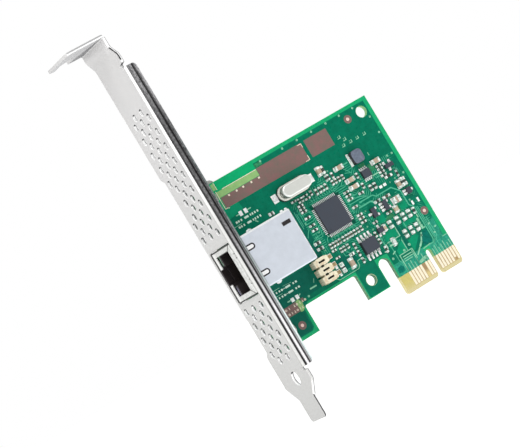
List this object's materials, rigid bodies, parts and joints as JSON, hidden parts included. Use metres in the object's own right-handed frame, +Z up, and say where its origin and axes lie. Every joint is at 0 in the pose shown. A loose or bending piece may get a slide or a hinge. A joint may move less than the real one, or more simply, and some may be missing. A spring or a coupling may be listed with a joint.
{
  "type": "network interface card",
  "caption": "Green network interface card with a full-height vented steel slot bracket, one shielded modular jack and a short gold edge connector.",
  "frame": {"origin": "edge connector datum: centre of the key notch, lower edge of the fingers, middle of the board's thickness", "axes": "+Z up along the bracket from the fingers to the screw flange, +X from the bracket to the board's far edge, +Y out of the solder side, -Y out of the component side"},
  "size_m": [0.0777, 0.0213, 0.12],
  "materials": {
    "bracket_steel": "satin nickel plate",
    "screw_steel": "satin",
    "board_laminate": "satin solder mask",
    "contact_gold": "satin plated",
    "shield_tin": "bright tinplate",
    "jack_plastic": "matte",
    "lamp_green": "clear",
    "lamp_grey": "clear",
    "tinned_lead": "tinned",
    "spring_gold": "plated",
    "magnetics_laminate": "satin",
    "ferrite": "matte",
    "copper_wire": "enamelled",
    "crystal_steel": "satin",
    "crystal_insulator": "matte",
    "chip_epoxy": "matte",
    "inductor_ferrite": "matte",
    "block_plastic": "matte",
    "block_metal": "tinned",
    "capacitor_ceramic": "matte",
    "capacitor_small_ceramic": "matte",
    "resistor_ceramic": "gloss"
  },
  "bodies": {
    "root": {"circuit_board": "board_laminate", "edge_contacts": "contact_gold", "bracket": "bracket_steel", "bracket_screws": "screw_steel", "jack_shield": "shield_tin", "jack_housing": "jack_plastic", "jack_contacts": "spring_gold", "link_lamp": "lamp_grey", "activity_lamp": "lamp_green", "lamp_leads": "tinned_lead", "magnetics_board": "magnetics_laminate", "transformer_cores": "ferrite", "transformer_windings": "copper_wire", "jack_pins": "tinned_lead", "crystal_base": "crystal_insulator", "crystal_can": "crystal_steel", "crystal_leads": "tinned_lead", "controller_body": "chip_epoxy", "controller_leads": "tinned_lead", "flash_body": "chip_epoxy", "flash_leads": "tinned_lead", "regulator_body": "chip_epoxy", "regulator_leads": "tinned_lead", "transistor_bodies": "chip_epoxy", "transistor_leads": "tinned_lead", "inductor_core": "inductor_ferrite", "inductor_terminals": "tinned_lead", "moulded_blocks": "block_plastic", "block_terminals": "block_metal", "chip_capacitors": "capacitor_ceramic", "chip_capacitor_ends": "tinned_lead", "small_capacitors": "capacitor_small_ceramic", "small_capacitor_ends": "tinned_lead", "chip_resistors": "resistor_ceramic", "chip_resistor_ends": "tinned_lead"}
  },
  "joints": []
}
